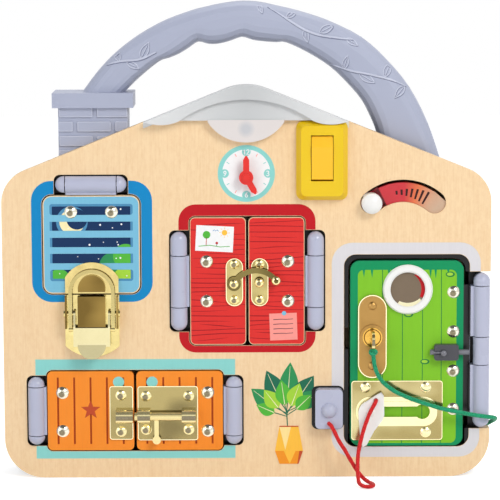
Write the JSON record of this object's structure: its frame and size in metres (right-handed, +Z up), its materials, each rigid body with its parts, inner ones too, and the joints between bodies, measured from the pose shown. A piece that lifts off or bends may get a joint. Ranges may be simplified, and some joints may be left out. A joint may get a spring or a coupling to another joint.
{
  "type": "busy board",
  "caption": "House-shaped wooden busy board for toddlers: latched doors over compartments, a clock, a lamp with its rocker switch, an arc slider and a carrying handle",
  "frame": {"origin": "middle of the flat base, under the middle of the depth from the board to the back panel", "axes": "+X to the right seen from the front, +Z up, and the front with the doors faces -Y"},
  "size_m": [0.3354, 0.0852, 0.323],
  "materials": {
    "birch": "pale clear-coated plywood",
    "case_plastic": "black, glossy",
    "back_wood": "pale plywood with printed patterns inside",
    "steel": "zinc-plated steel",
    "lilac_plastic": "grey-lilac moulded plastic",
    "lamp_plastic": "translucent light grey",
    "circuit_board": "white circuit board with lamps",
    "battery_skin": "copper-coloured battery jacket",
    "yellow_plastic": "bright yellow",
    "amber_plastic": "warm yellow",
    "wire_skin": "red insulation",
    "red_plastic": "bright red",
    "strip_plastic": "red running to orange",
    "white_plastic": "white",
    "hinge_plastic": "grey-lilac, glossy",
    "old_brass": "polished gold-toned brass",
    "bright_brass": "polished light brass",
    "sky_paint": "light blue printed plywood",
    "screw_metal": "plated domed heads",
    "red_paint": "red printed plywood",
    "orange_paint": "orange printed plywood",
    "green_paint": "green printed plywood",
    "lock_brass": "satin brass",
    "dark_plastic": "dark grey",
    "grey_plastic": "mid grey",
    "red_cord_fabric": "braided red cord",
    "green_cord_fabric": "braided green cord"
  },
  "bodies": {
    "house": {"front_board": "birch", "case_shell": "case_plastic", "back_panel": "back_wood", "back_screws": "steel", "handle": "lilac_plastic", "chimney": "lilac_plastic", "lamp_cover": "lamp_plastic", "led_board": "circuit_board", "battery_box": "case_plastic", "batteries": "battery_skin", "battery_door": "case_plastic", "switch_bezel": "yellow_plastic", "lamp_wires": "wire_skin", "clock_pin": "red_plastic", "slider_strip": "strip_plastic", "hinge_knuckles": "hinge_plastic", "hinge_pins": "steel", "latch_base": "old_brass", "cord_block": "hinge_plastic", "red_cord": "red_cord_fabric", "green_cord": "green_cord_fabric"},
    "window": {"window_flap": "sky_paint", "window_leaf": "hinge_plastic", "window_screws": "screw_metal", "latch_strike": "old_brass"},
    "lever": {"latch_lever": "bright_brass"},
    "bail": {"latch_bail": "old_brass"},
    "red_left": {"red_door_left": "red_paint", "red_leaf_left": "hinge_plastic", "red_screws_left": "screw_metal", "hook_plate": "bright_brass"},
    "hook": {"hook_arm": "bright_brass"},
    "red_right": {"red_door_right": "red_paint", "red_leaf_right": "hinge_plastic", "red_screws_right": "screw_metal", "hook_keeper": "bright_brass"},
    "orange_left": {"orange_door_left": "orange_paint", "orange_leaf_left": "hinge_plastic", "orange_screws_left": "screw_metal", "bolt_keeper": "bright_brass"},
    "orange_right": {"orange_door_right": "orange_paint", "orange_leaf_right": "hinge_plastic", "orange_screws_right": "screw_metal", "bolt_plate": "bright_brass"},
    "bolt": {"bolt_rod": "bright_brass"},
    "green": {"green_door": "green_paint", "green_leaf": "hinge_plastic", "green_screws": "screw_metal", "lock_plate": "lock_brass", "peephole_ring": "white_plastic", "slotted_plate": "bright_brass", "side_bolt_guide": "dark_plastic"},
    "lock": {"lock_plug": "bright_brass", "door_key": "bright_brass"},
    "tab": {"cord_tab": "white_plastic"},
    "side_bolt": {"side_bolt_rod": "grey_plastic"},
    "rocker": {"switch_rocker": "amber_plastic"},
    "knob": {"slider_knob": "white_plastic"},
    "hour": {"hour_hand": "red_plastic"},
    "minute": {"minute_hand": "red_plastic"}
  },
  "joints": [
    {"name": "window_hinge", "type": "hinge", "parent": "house", "child": "window", "pos_m": [-0.1045, -0.022, 0.20125], "axis": [-1, 0, 0], "range_deg": [0, 80]},
    {"name": "lever_hinge", "type": "hinge", "parent": "house", "child": "lever", "pos_m": [-0.1045, -0.0262, 0.1137], "axis": [-1, 0, 0], "range_deg": [0, 115]},
    {"name": "bail_hinge", "type": "hinge", "parent": "lever", "child": "bail", "pos_m": [-0.1045, -0.0294, 0.1035], "axis": [1, 0, 0], "range_deg": [0, 295]},
    {"name": "red_left_hinge", "type": "hinge", "parent": "house", "child": "red_left", "pos_m": [-0.0457, -0.022, 0.1352], "axis": [0, 0, -1], "range_deg": [0, 105]},
    {"name": "red_right_hinge", "type": "hinge", "parent": "house", "child": "red_right", "pos_m": [0.0467, -0.022, 0.1352], "axis": [0, 0, 1], "range_deg": [0, 105]},
    {"name": "hook_pivot", "type": "hinge", "parent": "red_left", "child": "hook", "pos_m": [-0.0085, -0.0272, 0.1339], "axis": [0, -1, 0], "range_deg": [0, 100]},
    {"name": "orange_left_hinge", "type": "hinge", "parent": "house", "child": "orange_left", "pos_m": [-0.1432, -0.022, 0.0464], "axis": [0, 0, -1], "range_deg": [0, 105]},
    {"name": "orange_right_hinge", "type": "hinge", "parent": "house", "child": "orange_right", "pos_m": [-0.0088, -0.022, 0.0464], "axis": [0, 0, 1], "range_deg": [0, 105]},
    {"name": "bolt_slide", "type": "slide", "parent": "orange_right", "child": "bolt", "axis": [1, 0, 0], "range_m": [-0.0025, 0.015]},
    {"name": "green_hinge", "type": "hinge", "parent": "house", "child": "green", "pos_m": [0.159, -0.022, 0.0872], "axis": [0, 0, 1], "range_deg": [0, 100], "deforming": ["red_cord", "green_cord"]},
    {"name": "lock_turn", "type": "hinge", "parent": "green", "child": "lock", "pos_m": [0.08505, -0.024, 0.0967], "axis": [0, 1, 0], "range_deg": [0, 90]},
    {"name": "tab_slide", "type": "slide", "parent": "green", "child": "tab", "axis": [1, 0, 0], "range_m": [0, 0.032]},
    {"name": "side_bolt_slide", "type": "slide", "parent": "green", "child": "side_bolt", "axis": [-1, 0, 0], "range_m": [0, 0.005]},
    {"name": "switch_rock", "type": "hinge", "parent": "house", "child": "rocker", "pos_m": [0.0509, -0.025, 0.219], "axis": [1, 0, 0], "range_deg": [0, 12]},
    {"name": "slider_turn", "type": "hinge", "parent": "house", "child": "knob", "pos_m": [0.1056, -0.022, 0.1638], "axis": [0, 1, 0], "range_deg": [0, 82.4]},
    {"name": "hour_turn", "type": "hinge", "parent": "house", "child": "hour", "pos_m": [0, -0.0257, 0.206], "axis": [0, 1, 0], "continuous": true},
    {"name": "minute_turn", "type": "hinge", "parent": "house", "child": "minute", "pos_m": [0, -0.0276, 0.206], "axis": [0, 1, 0], "continuous": true}
  ],
  "couplings": [
    {"joint": "lever_hinge", "follows": "window_hinge", "ratio": 1.4375},
    {"joint": "bail_hinge", "follows": "window_hinge", "ratio": 3.6875},
    {"joint": "red_right_hinge", "follows": "red_left_hinge", "ratio": 1}
  ]
}
